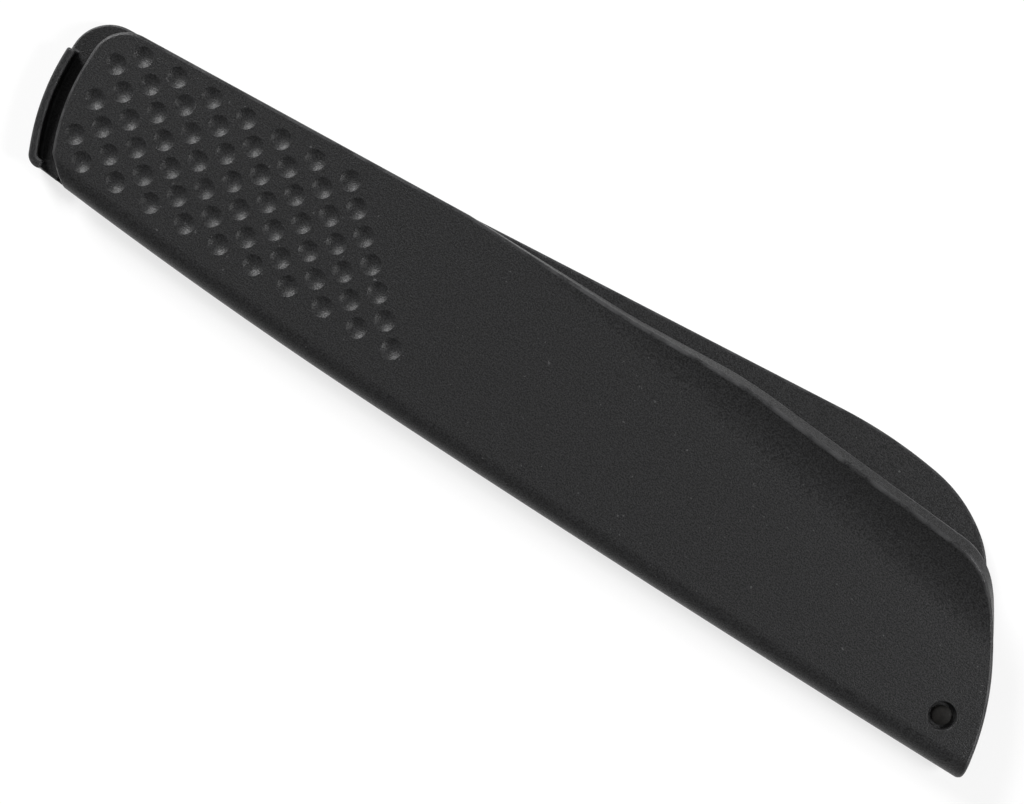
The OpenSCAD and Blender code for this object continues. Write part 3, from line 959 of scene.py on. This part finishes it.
def white_to_camera(tree, lit, output, share, mirrored=1.0):
    """Adds white for directly seen rays to what a tree already shows."""
    nodes, links = tree.nodes, tree.links
    amount = nodes.new("ShaderNodeMath")
    amount.operation = "MULTIPLY"
    amount.use_clamp = True
    if isinstance(share, float):
        amount.inputs[1].default_value = share
    else:
        links.new(share, amount.inputs[1])
    links.new(seen_directly(tree, mirrored), amount.inputs[0])
    kind = "ShaderNodeBackground" if output.type == "OUTPUT_WORLD" else "ShaderNodeEmission"
    white = nodes.new(kind)
    white.inputs["Color"].default_value = (1, 1, 1, 1)
    white.inputs["Strength"].default_value = 1.0
    mix = nodes.new("ShaderNodeMixShader")
    links.new(amount.outputs["Value"], mix.inputs["Fac"])
    links.new(lit.outputs[0], mix.inputs[1])
    links.new(white.outputs[0], mix.inputs[2])
    links.new(mix.outputs["Shader"], output.inputs["Surface"])


scene = bpy.context.scene
scene.view_settings.view_transform = "Standard"
world = bpy.data.worlds.new("studio")
scene.world = world
world.use_nodes = True
ceiling = world.node_tree.nodes["Background"]
ceiling.inputs["Color"].default_value = (1, 1, 1, 1)
ceiling.inputs["Strength"].default_value = CEILING_STRENGTH
direction = world.node_tree.nodes.new("ShaderNodeTexCoord")
height = world.node_tree.nodes.new("ShaderNodeSeparateXYZ")
world.node_tree.links.new(direction.outputs["Generated"], height.inputs["Vector"])
horizon = world.node_tree.nodes.new("ShaderNodeMapRange")
horizon.inputs["From Min"].default_value = HORIZON_LOW
horizon.inputs["From Max"].default_value = HORIZON_HIGH
horizon.inputs["To Min"].default_value = 1.0
horizon.inputs["To Max"].default_value = 0.0
world.node_tree.links.new(height.outputs["Z"], horizon.inputs["Value"])
white_to_camera(
    world.node_tree, ceiling, world.node_tree.nodes["World Output"], horizon.outputs["Result"],
    mirrored=0.2,
)
print("world:", world.name, "with a ceiling of", CEILING_STRENGTH)

# %% [markdown]
# The table is a plane a hair below the guard, so that the two don't flicker where they
# meet. Part of its white is its own light, seen but not shed, which keeps the photo's
# plain white ground. The rest is paint, so the guard still casts a soft shadow.

# %% The table
TABLE_SIZE = 6
TABLE_LEVEL = -0.0002
TABLE_WHITE_SHARE = 0.75

bpy.ops.object.select_all(action="DESELECT")
bpy.ops.mesh.primitive_plane_add(size=TABLE_SIZE, location=(0, 0, TABLE_LEVEL))
floor = bpy.context.object
floor.name = "table"
table_white = bpy.data.materials.new("table_white")
table_white.use_nodes = True
paint = table_white.node_tree.nodes["Principled BSDF"]
paint.inputs["Base Color"].default_value = (0.92, 0.92, 0.92, 1)
paint.inputs["Roughness"].default_value = 0.9
white_to_camera(
    table_white.node_tree, paint, table_white.node_tree.nodes["Material Output"],
    TABLE_WHITE_SHARE,
)
dress(floor, table_white)
print("table:", TABLE_SIZE, "m wide")

# %% [markdown]
# A lamp is placed by its compass direction from the guard, its height angle and its
# distance, as a photographer would place a stand. The larger the disk, the softer the
# edge of the shadow and the wider the sheen on the rolled edge.


# %% Lamps
def soft_lamp(name, towards, elevation, distance, size, power):
    """An area lamp that looks at the guard from a compass direction."""
    level = math.radians(elevation)
    flat = Vector(towards).normalized() * math.cos(level)
    spot = Vector((flat.x, flat.y, math.sin(level))) * distance
    light = bpy.data.lights.new(name, "AREA")
    light.shape = "DISK"
    light.size = size
    light.energy = power
    lamp = bpy.data.objects.new(name, light)
    lamp.location = spot
    lamp.rotation_euler = (-spot).to_track_quat("-Z", "Y").to_euler()
    scene.collection.objects.link(lamp)
    print(name, "at", spot, "with", power, "W")


soft_lamp(
    "main_lamp", towards=(-0.774, 0.415), elevation=29, distance=2.0, size=0.9, power=58
)
soft_lamp(
    "side_lamp", towards=(0.745, 0.203), elevation=40, distance=0.9, size=0.25, power=6
)

# %% [markdown]
# ## Camera
# The photograph was taken from almost straight above with a long lens. Its place
# and turn were solved from the dimple lattice, which is regular enough to serve as a
# ruler. The camera is written here as its place, in millimetres from the start of the
# hinge edge, and its right, up and backward axes. The lens is long: 2600 pixels of a
# picture 1024 pixels wide.

# %% The photograph's camera
SENSOR = 36
FOCAL_PIXELS = 2600
PHOTO_WIDTH = 1024
CAMERA_SPOT = Vector((146.681, 33.339, 542.995))
RIGHT = Vector((0.83445, 0.54430, -0.08621))
UP = Vector((-0.54542, 0.83808, 0.01207))
BEHIND = Vector((0.07882, 0.03695, 0.99620))

lens_data = bpy.data.cameras.new("camera")
lens_data.lens = SENSOR * FOCAL_PIXELS / PHOTO_WIDTH
lens_data.sensor_width = SENSOR
lens_data.clip_start = 0.01
lens_data.clip_end = 20
camera = bpy.data.objects.new("camera", lens_data)
scene.collection.objects.link(camera)
axes = Matrix((RIGHT, UP, BEHIND)).transposed()
camera.matrix_world = Matrix.Translation(HINGE_START + CAMERA_SPOT / 1000) @ axes.to_4x4()
scene.camera = camera
print("camera:", lens_data.lens, "mm at", camera.matrix_world.translation)

# %% [markdown]
# The last step clears the selection. The leaves are built from the same sizes as the imported
# model, so the two differ by no more than a rounded rim.

# %% Clear the selection
bpy.ops.object.select_all(action="DESELECT")
